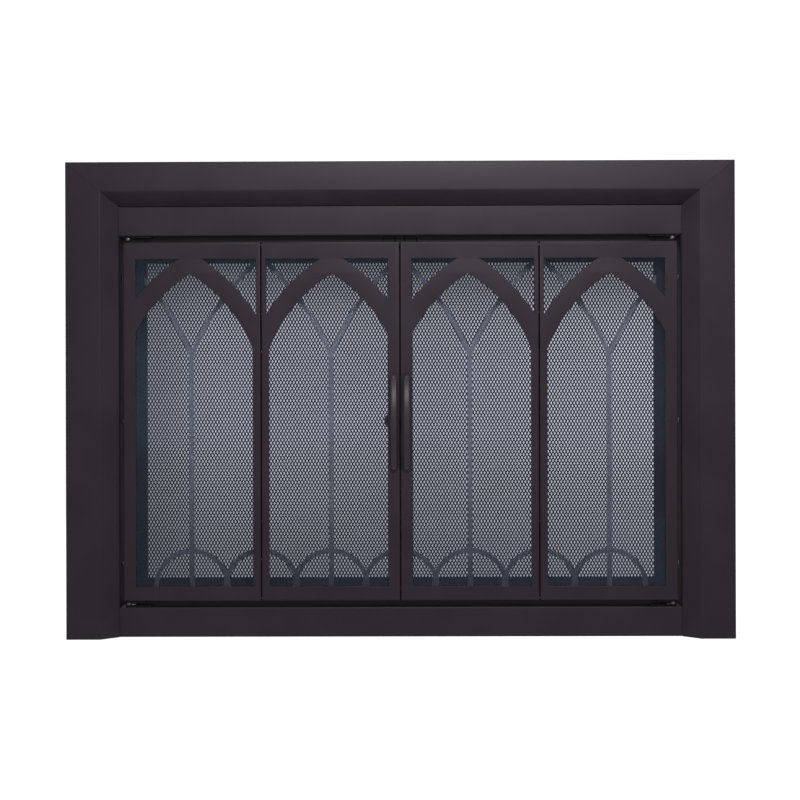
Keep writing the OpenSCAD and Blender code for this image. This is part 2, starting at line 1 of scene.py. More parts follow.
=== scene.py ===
"""Looks of a built-in fireplace screen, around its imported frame.

The screen is a mitred bronze surround on a steel box frame, two pairs of folding glass leaves with gothic
fretwork, and two mesh doors with gothic tracery behind them. Every length is in metres, in the frame's own
axes: +X to the right, +Y into the fireplace and +Z up. Each sub-assembly is a class that reads its places
from the frame, builds its surfaces with numpy and dresses them in a finish.
"""

from __future__ import annotations

import json
import logging
import math
from dataclasses import dataclass, field
from enum import Enum

import bmesh
import bpy
import numpy as np
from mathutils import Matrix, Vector
from mathutils.geometry import tessellate_polygon

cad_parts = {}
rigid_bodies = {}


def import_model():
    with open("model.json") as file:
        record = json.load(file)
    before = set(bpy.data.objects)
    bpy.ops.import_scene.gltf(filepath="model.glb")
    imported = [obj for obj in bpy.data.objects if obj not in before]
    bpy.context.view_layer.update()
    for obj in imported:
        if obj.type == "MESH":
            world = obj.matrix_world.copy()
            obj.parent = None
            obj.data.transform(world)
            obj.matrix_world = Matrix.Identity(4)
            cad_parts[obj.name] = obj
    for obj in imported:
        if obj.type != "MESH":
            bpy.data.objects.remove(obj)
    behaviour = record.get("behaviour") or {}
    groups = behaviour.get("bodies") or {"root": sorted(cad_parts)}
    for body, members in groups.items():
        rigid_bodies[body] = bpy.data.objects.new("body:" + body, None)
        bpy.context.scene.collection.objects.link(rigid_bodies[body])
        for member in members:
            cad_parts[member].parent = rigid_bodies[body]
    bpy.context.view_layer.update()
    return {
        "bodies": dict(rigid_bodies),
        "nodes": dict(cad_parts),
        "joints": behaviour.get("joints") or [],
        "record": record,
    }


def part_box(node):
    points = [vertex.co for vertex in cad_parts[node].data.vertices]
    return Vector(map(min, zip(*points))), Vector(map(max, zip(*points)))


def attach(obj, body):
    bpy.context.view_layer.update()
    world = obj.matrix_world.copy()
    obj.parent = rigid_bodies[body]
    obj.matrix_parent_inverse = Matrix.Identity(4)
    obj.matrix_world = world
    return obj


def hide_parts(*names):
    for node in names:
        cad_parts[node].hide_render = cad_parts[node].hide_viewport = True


LOG = logging.getLogger("fireplace_screen")
MM = 0.001
Colour = tuple[float, float, float]
# Colour that painted shade darkens a coat toward, near the bottom and near the top.
PAINTED_SHADE_COLOUR: Colour = (0.004, 0.004, 0.004)
Array = np.ndarray
Material = bpy.types.Material
Node = bpy.types.Node
Object = bpy.types.Object
Socket = bpy.types.NodeSocket
Tree = bpy.types.NodeTree


class Side(Enum):
    """Which half of the screen a piece belongs to. The value is the sign of its X."""

    LEFT = -1
    RIGHT = 1

    @property
    def word(self) -> str:
        """The side's name as the frame's nodes spell it."""
        return self.name.lower()


class Place(Enum):
    """Where a glass leaf stands in its pair."""

    OUTER = "outer"
    INNER = "inner"


# ---- Meshes ----


@dataclass
class Shell:
    """Vertices and faces that are collected for one piece.

    Attributes:
        points: Blocks of vertices, each of shape (n, 3).
        faces: Blocks of faces, each of shape (m, 3) or (m, 4).
        count: How many vertices there are so far.
    """

    points: list[Array] = field(default_factory=list)
    faces: list[Array] = field(default_factory=list)
    count: int = 0

    def add(self, points: Array, faces: Array) -> None:
        """Adds a block of vertices and the faces that index it.

        Args:
            points: Vertices of shape (n, 3).
            faces: Vertex numbers of shape (m, 3) or (m, 4), from 0 within this block.
        """
        self.points.append(np.asarray(points, float))
        self.faces.append(np.asarray(faces, int) + self.count)
        self.count += len(points)

    def add_grid(self, grid: Array, close_columns: bool = False) -> None:
        """Adds a surface of two parameters, one quad between each four neighbouring points.

        Args:
            grid: Points of shape (rows, columns, 3).
            close_columns: Joins the last column to the first.
        """
        rows, columns = grid.shape[:2]
        number = np.arange(rows * columns).reshape(rows, columns)
        here, down = number[:-1], number[1:]
        last = columns if close_columns else columns - 1
        quads = np.stack(
            [here[:, :last], np.roll(here, -1, 1)[:, :last], np.roll(down, -1, 1)[:, :last], down[:, :last]],
            axis=-1,
        )
        self.add(grid.reshape(-1, 3), quads.reshape(-1, 4))

    def add_box(self, low: Array, high: Array) -> None:
        """Adds a closed box between two corners."""
        corners = np.array([[x, y, z] for x in (0, 1) for y in (0, 1) for z in (0, 1)], float)
        points = np.asarray(low) + corners * (np.asarray(high) - np.asarray(low))
        faces = [[0, 1, 3, 2], [4, 6, 7, 5], [0, 4, 5, 1], [2, 3, 7, 6], [0, 2, 6, 4], [1, 5, 7, 3]]
        self.add(points, np.array(faces))

    def add_sheet(self, outlines: Array) -> None:
        """Adds folded sheet that runs through its outlines, each end closed by quads.

        Args:
            outlines: Closed outlines of shape (k, n, 3), each one face of the sheet and then the other.
        """
        self.add_grid(outlines, close_columns=True)
        half = outlines.shape[1] // 2
        for outline in (outlines[0], outlines[-1]):
            self.add_grid(np.stack([outline[:half], outline[::-1][:half]]))

    def piece(self, name: str, sharp_deg: float = 32.0, weld: float = 1e-6) -> Object:
        """Turns the collected surfaces into an object whose faces point outwards.

        Args:
            name: The new object's name.
            sharp_deg: Edges that turn by more than this stay sharp.
            weld: Vertices closer than this are merged.

        Returns:
            The object, linked to the scene.
        """
        mesh = bpy.data.meshes.new(name)
        faces = [row for block in self.faces for row in block.tolist()]
        mesh.from_pydata(np.concatenate(self.points).tolist(), [], faces)
        work = bmesh.new()
        work.from_mesh(mesh)
        bmesh.ops.remove_doubles(work, verts=work.verts, dist=weld)
        bmesh.ops.recalc_face_normals(work, faces=work.faces)
        work.to_mesh(mesh)
        work.free()
        mesh.polygons.foreach_set("use_smooth", np.ones(len(mesh.polygons), bool))
        mesh.set_sharp_from_angle(angle=math.radians(sharp_deg))
        piece = bpy.data.objects.new(name, mesh)
        bpy.context.scene.collection.objects.link(piece)
        return piece


def rounded_line(corners: Array, radii: Array, steps: int = 5) -> Array:
    """Rounds the inner corners of an open line of straight stretches.

    Each corner P with unit directions a toward the point before and b toward the point after is replaced by
    the arc of radius r that touches both stretches at r / tan(half the angle between them) from P.

    Args:
        corners: Points of the line, of shape (n, 2).
        radii: A radius for each point; the two ends ignore theirs.
        steps: Stretches in each arc.

    Returns:
        The rounded line, of shape (m, 2).
    """
    out = [corners[:1]]
    for before, corner, after, radius in zip(corners[:-2], corners[1:-1], corners[2:], radii[1:-1]):
        a = (before - corner) / np.linalg.norm(before - corner)
        b = (after - corner) / np.linalg.norm(after - corner)
        half = math.acos(float(np.clip(a @ b, -1, 1))) / 2
        start, end = corner + a * radius / math.tan(half), corner + b * radius / math.tan(half)
        centre = corner + (a + b) / np.linalg.norm(a + b) * radius / math.sin(half)
        turn = np.linspace(0, 1, steps + 1)[:, None]
        arm = (start - centre) * (1 - turn) + (end - centre) * turn
        out.append(centre + arm / np.linalg.norm(arm, axis=1, keepdims=True) * radius)
    out.append(corners[-1:])
    return np.concatenate(out)


def offset_line(line: Array, distance: float, closed: bool = False) -> Array:
    """Moves a line sideways, to the left of its direction for a positive distance.

    A point moves along the sum of its two stretches' normals, by distance / (1 + cosine of the turn) times
    that sum, which keeps each stretch exactly parallel.

    Args:
        line: Points of shape (n, 2).
        distance: How far the line moves.
        closed: The last point is joined to the first.

    Returns:
        The moved line, of the same shape.
    """
    step = np.roll(line, -1, 0) - line
    if not closed:
        step[-1] = step[-2]
    step /= np.linalg.norm(step, axis=1, keepdims=True)
    before = np.roll(step, 1, 0)
    if not closed:
        before[0] = step[0]
    normal = np.stack([-step[:, 1], step[:, 0]], 1)
    normal_before = np.stack([-before[:, 1], before[:, 0]], 1)
    cosine = (normal * normal_before).sum(1, keepdims=True)
    return line + distance * (normal + normal_before) / (1 + np.clip(cosine, -0.8, 1))


def sheet_section(line: Array, thickness: float) -> Array:
    """Closed outline of folded sheet: a line, and the same line moved by the sheet's thickness, reversed."""
    return np.concatenate([line, offset_line(line, thickness)[::-1]])


def arc(centre: Array, radius: float, start: float, end: float, count: int) -> Array:
    """Points of a circular arc, centre + radius (cos a, sin a) for a from start to end.

    Args:
        centre: The circle's centre.
        radius: Its radius.
        start: First angle, in radians.
        end: Last angle, in radians.
        count: Number of points.

    Returns:
        Points of shape (count, 2).
    """
    angle = np.linspace(start, end, count)
    return np.asarray(centre) + radius * np.stack([np.cos(angle), np.sin(angle)], 1)


def quarter_round(radius: float, front: float) -> Array:
    """Easing of a front edge: (r (1 - sin a), front + r (1 - cos a)) for a from 0 to a right angle.

    Args:
        radius: The easing's radius.
        front: Depth of the front face.

    Returns:
        Distances from the edge and depths, of shape (6, 2).
    """
    turn = np.linspace(0, math.pi / 2, 6)
    return np.stack([radius * (1 - np.sin(turn)), front + radius * (1 - np.cos(turn))], 1)


def lathe(profile: Array, centre: Array, steps: int = 48) -> Array:
    """Surface that a profile sweeps as it turns about a line along Y.

    The point (r, y) of the profile at angle a lies at centre + (r cos a, y, r sin a).

    Args:
        profile: Radii and depths, of shape (n, 2), with a radius of 0 at both ends.
        centre: A point of the axis; its Y is the profile's zero.
        steps: Stretches round the axis.

    Returns:
        Points of shape (n, steps, 3).
    """
    angle = np.linspace(0, 2 * math.pi, steps, endpoint=False)
    radius, depth = profile[:, :1], profile[:, 1:]
    depth = np.broadcast_to(depth, (len(profile), steps))
    return np.stack([radius * np.cos(angle), depth, radius * np.sin(angle)], axis=-1) + np.asarray(centre)


# ---- Finishes ----


@dataclass
class Graph:
    """A short way to write shader nodes into a material or a node group."""

    tree: Tree

    def node(self, kind: str, **settings: object) -> Node:
        """Adds a node and sets its own properties.

        Args:
            kind: The node's type name.
            settings: Properties such as operation or noise_dimensions.

        Returns:
            The node.
        """
        made = self.tree.nodes.new(kind)
        for key, value in settings.items():
            setattr(made, key, value)
        return made

    def feed(self, socket: Socket, value: object) -> None:
        """Links an output to a socket, or sets the socket to a constant."""
        if isinstance(value, Socket):
            self.tree.links.new(value, socket)
        else:
            socket.default_value = value

    def fill(self, node: Node, values: dict[str, object]) -> Node:
        """Feeds a node's inputs by name.

        Args:
            node: The node.
            values: A constant or a socket for each input.

        Returns:
            The same node.
        """
        for name, value in values.items():
            self.feed(node.inputs[name], value)
        return node

    def math(self, operation: str, a: object, b: object = 0.0, c: object = 0.0) -> Socket:
        """One Math node.

        Args:
            operation: Such as MULTIPLY or SUBTRACT.
            a: First value or socket.
            b: Second value or socket.
            c: Third value or socket, where the operation has one.

        Returns:
            The result's socket.
        """
        made = self.node("ShaderNodeMath", operation=operation)
        for socket, value in zip(made.inputs, (a, b, c)):
            self.feed(socket, value)
        return made.outputs[0]

    def axes(self, vector: Socket) -> tuple[Socket, ...]:
        """The three parts of a vector."""
        return tuple(self.fill(self.node("ShaderNodeSeparateXYZ"), {"Vector": vector}).outputs)

    def noise(self, vector: object, scale: object, detail: float = 2.0, rough: float = 0.5) -> Socket:
        """The value of a noise texture.

        Args:
            vector: Where it is read.
            scale: Its scale.
            detail: Its octaves.
            rough: How strong the finer octaves are.

        Returns:
            The value's socket.
        """
        made = self.node("ShaderNodeTexNoise")
        self.fill(made, {"Vector": vector, "Scale": scale, "Detail": detail, "Roughness": rough})
        return made.outputs["Fac"]

    def spread(
        self, value: object, low: float, high: float, to_low: object = 0.0, to_high: object = 1.0
    ) -> Socket:
        """Maps a value's stretch from low to high onto another stretch, smoothly, and holds it there.

        Args:
            value: What is mapped.
            low: Where the stretch begins.
            high: Where it ends.
            to_low: The result at low.
            to_high: The result at high.

        Returns:
            The result's socket.
        """
        made = self.node("ShaderNodeMapRange", interpolation_type="SMOOTHSTEP")
        names = ("Value", "From Min", "From Max", "To Min", "To Max")
        return self.fill(made, dict(zip(names, (value, low, high, to_low, to_high)))).outputs[0]

    def blend(self, share: object, a: object, b: object) -> Socket:
        """Mixes two colours.

        Args:
            share: How much of the second.
            a: First colour or socket.
            b: Second colour or socket.

        Returns:
            The mixed colour's socket.
        """
        made = self.node("ShaderNodeMix", data_type="RGBA")
        a, b = (colour if isinstance(colour, Socket) else (*colour, 1.0) for colour in (a, b))
        return self.fill(made, {"Factor": share, "A": a, "B": b}).outputs["Result"]

    def bump(self, height: object, strength: float, distance: float) -> Socket:
        """A Bump node's normal.

        Args:
            height: The height, from 0 to 1.
            strength: The bump's strength.
            distance: How high 1 is, in metres.

        Returns:
            The normal's socket.
        """
        made = self.node("ShaderNodeBump")
        self.fill(made, {"Strength": strength, "Distance": distance, "Height": height})
        return made.outputs["Normal"]

    def group(self, tree: Tree, values: dict[str, object]) -> Node:
        """Places a node group.

        Args:
            tree: The group.
            values: A constant or a socket for each input.

        Returns:
            The group's node.
        """
        return self.fill(self.node("ShaderNodeGroup", node_tree=tree), values)

    def by_ray(self, ray: str, usual: Socket, other: Socket) -> None:
        """Ends a material with one shader for rays of a kind and another for the rest.

        Args:
            ray: The Light Path output that tells the kind.
            usual: Shader for all other rays.
            other: Shader for rays of that kind.
        """
        choice = self.node("ShaderNodeMixShader")
        self.feed(choice.inputs["Fac"], self.node("ShaderNodeLightPath").outputs[ray])
        self.feed(choice.inputs[1], usual)
        self.feed(choice.inputs[2], other)
        self.feed(self.tree.nodes["Material Output"].inputs["Surface"], choice.outputs[0])


def node_group(
    name: str, inputs: dict[str, str], outputs: dict[str, str]
) -> tuple[Graph, Node, Node]:
    """Starts a shader node group with named sockets.

    Args:
        name: The group's name.
        inputs: Socket types by input name.
        outputs: Socket types by output name.

    Returns:
        The group's graph, its input node and its output node.
    """
    tree = bpy.data.node_groups.new(name, "ShaderNodeTree")
    for socket, kind in inputs.items():
        tree.interface.new_socket(name=socket, in_out="INPUT", socket_type=kind)
    for socket, kind in outputs.items():
        tree.interface.new_socket(name=socket, in_out="OUTPUT", socket_type=kind)
    graph = Graph(tree)
    return graph, graph.node("NodeGroupInput"), graph.node("NodeGroupOutput")


def coat_grain_group() -> Tree:
    """Orange peel and cloudiness of a baked coat.

    Height is a fine noise plus a fifth of a finer one. Mottle is a slow noise stretched to 0 to 1. Dust is a
    sparse speckle.

    Returns:
        The node group.
    """
    graph, given, out = node_group(
        "coat_grain",
        {"Vector": "NodeSocketVector", "Peel Scale": "NodeSocketFloat", "Cloud Scale": "NodeSocketFloat"},
        {"Height": "NodeSocketFloat", "Mottle": "NodeSocketFloat", "Dust": "NodeSocketFloat"},
    )
    vector, scale, cloud_scale = given.outputs[:3]
    peel = graph.noise(vector, scale, 3.0, 0.45)
    finer = graph.noise(vector, graph.math("MULTIPLY", scale, 3.7), 1.0)
    cloud = graph.noise(vector, cloud_scale, 3.0, 0.6)
    speck = graph.noise(vector, graph.math("MULTIPLY", scale, 1.9), 0.0)
    height = graph.math("MULTIPLY_ADD", finer, 0.2, peel)
    mottle, dust = graph.spread(cloud, 0.3, 0.7), graph.spread(speck, 0.68, 0.78)
    graph.fill(out, {"Height": height, "Mottle": mottle, "Dust": dust})
    return graph.tree


def brushing_group() -> Tree:
    """Fine parallel scratches of turned or rolled metal.

    The noise is read in a space stretched forty times along one axis, which draws it out into lines.

    Returns:
        The node group.
    """
    graph, given, out = node_group(
        "brushing",
        {"Vector": "NodeSocketVector", "Scale": "NodeSocketFloat"},
        {"Lines": "NodeSocketFloat", "Bloom": "NodeSocketFloat"},
    )
    vector, scale = given.outputs[:2]
    stretch = graph.node("ShaderNodeMapping")
    graph.fill(stretch, {"Scale": (1.0, 1.0, 1 / 40), "Vector": vector})
    lines = graph.noise(stretch.outputs[0], scale, 3.0, 0.6)
    bloom = graph.noise(vector, graph.math("MULTIPLY", scale, 0.12), 4.0, 0.6)
    graph.fill(out, {"Lines": lines, "Bloom": graph.spread(bloom, 0.35, 0.7)})
    return graph.tree


@dataclass
class Effects:
    """The node groups that the finishes share, each built once."""

    grain: Tree = field(default_factory=coat_grain_group)
    brushing: Tree = field(default_factory=brushing_group)


def start_material(name: str) -> tuple[Material, Graph, Node, Socket]:
    """A new material with its Principled shader.

    Args:
        name: The material's name.

    Returns:
        The material, its graph, the shader node and the Object coordinates.
    """
    material = bpy.data.materials.new(name)
    material.use_nodes = True
    graph = Graph(material.node_tree)
    shader = material.node_tree.nodes["Principled BSDF"]
    return material, graph, shader, graph.node("ShaderNodeTexCoord").outputs["Object"]


@dataclass(frozen=True)
class Coat:
    """A baked coat of paint or powder over steel.

    Attributes:
        name: The material's name.
        dark: Colour in the coat's deeper patches.
        light: Colour in its lighter patches.
        rough: Roughness at its smoothest and at its dullest.
        specular: Specular level.
        peel: Scale of the orange peel.
        cloud: Scale of the cloudiness.
        depth: Height of the orange peel, in metres.
        soot: How much of the colour is darkened toward the bottom and toward the top, as painted shade.
    """

    name: str
    dark: Colour
    light: Colour
    rough: tuple[float, float]
    specular: float = 0.4
    peel: float = 900.0
    cloud: float = 9.0
    depth: float = 0.00006
    soot: float = 0.0

    def material(self, effects: Effects) -> Material:
        """Builds the material.

        Args:
            effects: The shared node groups.

        Returns:
            The material.
        """
        material, graph, shader, where = start_material(self.name)
        grain = graph.group(
            effects.grain, {"Vector": where, "Peel Scale": self.peel, "Cloud Scale": self.cloud}
        )
        mottle = grain.outputs["Mottle"]
        colour = graph.blend(mottle, self.dark, self.light)
        # Painted shade: the colour is darkened by height, toward the bottom below 0.32 m and toward the top
        # above 0.5 m.
        if self.soot:
            height = graph.math("MULTIPLY_ADD", mottle, 0.02, graph.axes(where)[2])
            shade_toward_bottom = graph.spread(height, 0.0, 0.32, 1 - self.soot, 1.0)
            shade_toward_top = graph.spread(height, 0.50, 0.66, 1.0, 1 - 0.7 * self.soot)
            colour = graph.blend(graph.math("MULTIPLY", shade_toward_bottom, shade_toward_top), PAINTED_SHADE_COLOUR, colour)
        speck = tuple(min(1.0, 1.6 * value) for value in self.light)
        low, high = self.rough
        values = {
            "Base Color": graph.blend(graph.math("MULTIPLY", grain.outputs["Dust"], 0.5), colour, speck),
            "Roughness": graph.math("MULTIPLY_ADD", mottle, high - low, low),
            "Normal": graph.bump(grain.outputs["Height"], 0.5, self.depth),
            "Specular IOR Level": self.specular,
        }
        graph.fill(shader, values)
        return material


@dataclass(frozen=True)
class BareMetal:
    """Plated or turned metal.

    Attributes:
        name: The material's name.
        bright: Colour of the clean metal.
        dull: Colour where it has bloomed.
        rough: Roughness of the clean and of the bloomed metal.
        lines: Scale of the brushing.
    """

    name: str
    bright: Colour
    dull: Colour
    rough: tuple[float, float]
    lines: float = 700.0

    def material(self, effects: Effects) -> Material:
        """Builds the material.

        Args:
            effects: The shared node groups.

        Returns:
            The material.
        """
        material, graph, shader, where = start_material(self.name)
        brushed = graph.group(effects.brushing, {"Vector": where, "Scale": self.lines})
        lines, bloom = brushed.outputs["Lines"], brushed.outputs["Bloom"]
        colour = graph.blend(bloom, self.bright, self.dull)
        low, high = self.rough
        rough = graph.math("MULTIPLY_ADD", bloom, high - low, low)
        values = {
            "Base Color": colour,
            "Roughness": graph.math("MULTIPLY_ADD", lines, 0.12, rough),
            "Normal": graph.bump(lines, 0.35, 0.00004),
            "Metallic": 1.0,
        }
        graph.fill(shader, values)
        return material


@dataclass(frozen=True)
class Smoked:
    """Smoke-tinted tempered glass, with a faint roller wave and a faint clouding of its tint.

    Attributes:
        name: The material's name.
        tint: Colour that the whole pane lets through.
        ior: Index of refraction.
        specular: Specular level.
        sheen: Tint of what it reflects.
    """

    name: str
    tint: Colour
    ior: float = 1.45
    specular: float = 0.45
    sheen: Colour = (0.5, 0.78, 1.0)

    def material(self, effects: Effects) -> Material:
        """Builds the material. Shadow rays pass straight through, so light reaches what stands behind.

        Args:
            effects: The shared node groups.

        Returns:
            The material.
        """
        material, graph, shader, where = start_material(self.name)
        grain = graph.group(effects.grain, {"Vector": where, "Peel Scale": 60.0, "Cloud Scale": 6.0})
        mottle = grain.outputs["Mottle"]
        deeper = tuple(0.94 * value for value in self.tint)
        values = {
            "Base Color": graph.blend(mottle, deeper, self.tint),
            "Roughness": graph.math("MULTIPLY_ADD", mottle, 0.015, 0.005),
            "Normal": graph.bump(grain.outputs["Height"], 0.12, 0.00004),
            "Transmission Weight": 1.0,
            "IOR": self.ior,
            "Specular IOR Level": self.specular,
            "Specular Tint": (*self.sheen, 1.0),
        }
        graph.fill(shader, values)
        clear = graph.node("ShaderNodeBsdfTransparent")
        graph.fill(clear, {"Color": (*(value**0.25 for value in self.tint), 1.0)})
        graph.by_ray("Is Shadow Ray", shader.outputs["BSDF"], clear.outputs[0])
        return material


BRONZE = Coat("bronze_powder_coat", (0.028, 0.0200, 0.0275), (0.034, 0.0250, 0.0330), (0.42, 0.52), 0.26)
HANDLE_BRONZE = Coat(
    "bronze_handle_coat", (0.026, 0.018, 0.027), (0.036, 0.026, 0.036), (0.36, 0.44), 0.42, depth=0.00003
)
ENAMEL = Coat("black_stove_enamel", (0.008, 0.008, 0.0085), (0.013, 0.013, 0.014), (0.62, 0.78), 0.08)
WIRE = Coat("black_mesh_wire", (0.010, 0.010, 0.011), (0.022, 0.021, 0.021), (0.45, 0.62), 0.35, peel=1500.0)
HOUSING = Coat("magnet_housing", (0.012, 0.012, 0.013), (0.02, 0.02, 0.021), (0.55, 0.7), 0.3, peel=1400.0)
ZINC = BareMetal("dull_zinc_plate", (0.44, 0.44, 0.43), (0.31, 0.315, 0.31), (0.38, 0.56))
TURNED = BareMetal("turned_steel", (0.20, 0.195, 0.195), (0.14, 0.138, 0.138), (0.42, 0.56), lines=1100.0)
# The tracery's coat carries painted shade, darker toward the bottom and toward the top.
PEWTER = Coat("pewter_enamel", (0.24, 0.242, 0.25), (0.30, 0.302, 0.31), (0.42, 0.55), 0.3, soot=0.8)
SMOKED = Smoked("smoked_glass", (0.53, 0.545, 0.64))


@dataclass
class Palette:
    """The materials by the record's slot names, each made once."""

    effects: Effects = field(default_factory=Effects)
    made: dict[str, Material] = field(default_factory=dict)

    def __post_init__(self) -> None:
        """Builds every material."""
        finishes = {
            "bronze_coat": BRONZE,
            "bronze_handle": HANDLE_BRONZE,
            "smoked_glass": SMOKED,
            "mesh_wire": WIRE,
            "black_steel": ENAMEL,
            "tracery_grey": PEWTER,
            "bright_steel": TURNED,
            "zinc_plated": ZINC,
            "magnet": HOUSING,
        }
        self.made = {slot: finish.material(self.effects) for slot, finish in finishes.items()}

    def dress(self, piece: Object, slot: str) -> None:
        """Gives a piece the slot's material.

        Args:
            piece: The piece or CAD node.
            slot: The record's slot name.
        """
        piece.data.materials.clear()
        piece.data.materials.append(self.made[slot])


@dataclass
class Workshop:
    """What every sub-assembly works with.

    Attributes:
        palette: The finishes.
    """

    frame: dict
    palette: Palette

    def finish(self, piece: Object, slot: str, body: str, *stands_for: str) -> None:
        """Dresses a new piece, sets it on its body and hides the CAD nodes that it stands for.

        Args:
            piece: The new piece.
            slot: The record's slot name.
            body: The body that it rides on.
            stands_for: CAD nodes that it replaces.
        """
        self.palette.dress(piece, slot)
        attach(piece, body)
        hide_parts(*stands_for)
        LOG.info("%s: %d faces, rides on %s", piece.name, len(piece.data.polygons), body)

    def keep(self, slot: str, edge: float, *nodes: str) -> None:
        """Keeps CAD nodes, gives them a finish and rounds their edges.

        Args:
            slot: The record's slot name.
            edge: Radius of the rounding; 0 leaves the edges as they are.
            nodes: The nodes' names.
        """
        for node in nodes:
            piece = self.frame["nodes"][node]
            self.palette.dress(piece, slot)
            if edge > 0:
                self._ease(piece, edge)
            LOG.info("%s: kept, %s", node, slot)

    def _ease(self, piece: Object, edge: float) -> None:
        """Merges a CAD mesh's points, joins its flat faces and bevels its edges, by modifiers.

        Args:
            piece: The CAD node.
            edge: Width of the bevel.
        """
        weld = piece.modifiers.new("merge", "WELD")
        weld.merge_threshold = 1e-5
        flat = piece.modifiers.new("faces", "DECIMATE")
        flat.decimate_type = "DISSOLVE"
        flat.angle_limit = math.radians(0.5)
        bevel = piece.modifiers.new("edges", "BEVEL")
        bevel.width = edge
        bevel.segments = 2
        bevel.limit_method = "ANGLE"
        bevel.angle_limit = math.radians(35)
        bevel.use_clamp_overlap = True
        bevel.harden_normals = True


# ---- Surround ----


@dataclass
class Surround:
    """The mitred cover frame: two sides and a top of folded sheet.

    Attributes:
        shop: The workshop.
        sheet: Thickness of the sheet.
        flat_share: Share of a bar's width that is flat; the rest is the bevel.
        bevel_end: Depth at which the bevel ends.
        bearing: Width of the flange that bears on the masonry.
        nose: Radius of the fold at the outer edge.
        crease: Radius of the fold between the flat and the bevel.
        seam: How far the edges are eased where two bars meet.
    """

    shop: Workshop
    sheet: float = 1.5 * MM
    flat_share: float = 57.0 / 83.5
    bevel_end: float = 8 * MM
    bearing: float = 12 * MM
    nose: float = 2.6 * MM
    crease: float = 3.2 * MM
    seam: float = 0.3 * MM

    def section(self, wide: float, front: float, back: float) -> Array:
        """Closed section of the folded sheet, across the face from the outer edge and along the depth.

        Args:
            wide: Width of the face.
            front: Depth of the front face.
            back: Depth at which the inner flange ends.

        Returns:
            Points of shape (n, 2): the distance from the outer edge, and Y.
        """
        flat = wide * self.flat_share
        line = np.array(
            [[self.bearing, 0], [0, 0], [0, front], [flat, front], [wide, -self.bevel_end], [wide, back]]
        )
        radii = np.array([0, 2.0, self.nose / MM, self.crease / MM, 2.4, 0]) * MM
        return sheet_section(rounded_line(line, radii, 6), self.sheet)

    def build(self) -> None:
        """Builds the two sides and the top, and finishes the brackets and screws behind them."""
        low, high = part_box("surround_left")
        _, top_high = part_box("surround_top")
        header_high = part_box("header_rail")[1].z
        half_width, height = top_high.x, top_high.z
        side_w, top_w = high.x - low.x, height - header_high
        slope = top_w / side_w
        for side in Side:
            feet, heads = [], []
            for outline, back in self._eased(side_w, low.y, high.y):
                x = side.value * (half_width - outline[:, 0])
                head = height - slope * outline[:, 0] - back
                feet.append(np.stack([x, outline[:, 1], np.full(len(x), back)], 1))
                heads.append(np.stack([x, outline[:, 1], head], 1))
            self._bar(f"surround_{side.word}", feet + heads[::-1])
        lefts = []
        for outline, back in self._eased(top_w, low.y, high.y):
            reach = half_width - outline[:, 0] / slope - back
            lefts.append(np.stack([-reach, outline[:, 1], height - outline[:, 0]], 1))
        rights = [outline * np.array([-1, 1, 1]) for outline in lefts]
        self._bar("surround_top", lefts + rights[::-1])
        self.shop.keep("zinc_plated", 0.3 * MM, "corner_brackets")
        self.shop.keep("zinc_plated", 0.4 * MM, "surround_screws")

    def _eased(self, wide: float, front: float, back: float) -> list[tuple[Array, float]]:
        """The two outlines at a bar's end; the first is drawn in by the seam, which eases the mitre's edges.

        Args:
            wide: Width of the face.
            front: Depth of the front face.
            back: Depth at which the inner flange ends.

        Returns:
            Each outline with its distance from the end.
        """
        shape = self.section(wide, front, back)
        return [(offset_line(shape, self.seam, closed=True), 0.0), (shape, self.seam)]

    def _bar(self, node: str, outlines: list[Array]) -> None:
        """Builds one bar through its outlines, with closed ends.

        Args:
            node: The CAD node that it stands for.
            outlines: Outlines from one end to the other, each of shape (n, 3).
        """
        shell = Shell()
        shell.add_sheet(np.stack(outlines))
        self.shop.finish(shell.piece(f"{node}_bar"), "bronze_coat", "frame", node)


# ---- Box frame ----


@dataclass
class BoxFrame:
    """The steel box that stands inside the masonry opening: rails, jambs, stops, pivots and fixings.

    Attributes:
        shop: The workshop.
        sheet: Thickness of the sheet.
        bend: Outer radius of a fold.
    """

    shop: Workshop
    sheet: float = 1.5 * MM
    bend: float = 2.4 * MM

    def build(self) -> None:
        """Builds the two rails and finishes the rest."""
        for node in ("header_rail", "sill_rail"):
            self._rail(node)
        self.shop.keep("bronze_coat", 0.4 * MM, "stop_angles")
        # The jambs are black enamel; the black also stands in for the shade on their inner faces, in the gap
        # beside the outer leaves, and is painted shade.
        self.shop.keep("black_steel", 0.4 * MM, "left_jamb", "right_jamb", "pivot_plates", "mesh_brackets")
        straps = ("lintel_straps", "lintel_bolts", "lintel_nuts")
        self.shop.keep("zinc_plated", 0.5 * MM, "frame_screws", *straps, "hearth_brackets")
        self.shop.keep("bright_steel", 0.4 * MM, "pivot_bushes")
        self.shop.keep("magnet", 0.8 * MM, "leaf_magnets", "mesh_magnet")

    def _rail(self, node: str) -> None:
        """Builds a channel with round folds, its open side to the rear.

        Args:
            node: The rail's CAD node.
        """
        low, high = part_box(node)
        line = np.array([[high.y, low.z], [low.y, low.z], [low.y, high.z], [high.y, high.z]])
        shape = sheet_section(rounded_line(line, np.full(4, self.bend), 6), -self.sheet)
        start = np.stack([np.full(len(shape), low.x), shape[:, 0], shape[:, 1]], 1)
        end = start.copy()
        end[:, 0] = high.x
        t = np.linspace(0, 1, 3)[:, None, None]
        shell = Shell()
        shell.add_sheet((1 - t) * start + t * end)
        self.shop.finish(shell.piece(f"{node}_channel"), "bronze_coat", "frame", node)


# ---- Glass leaves ----


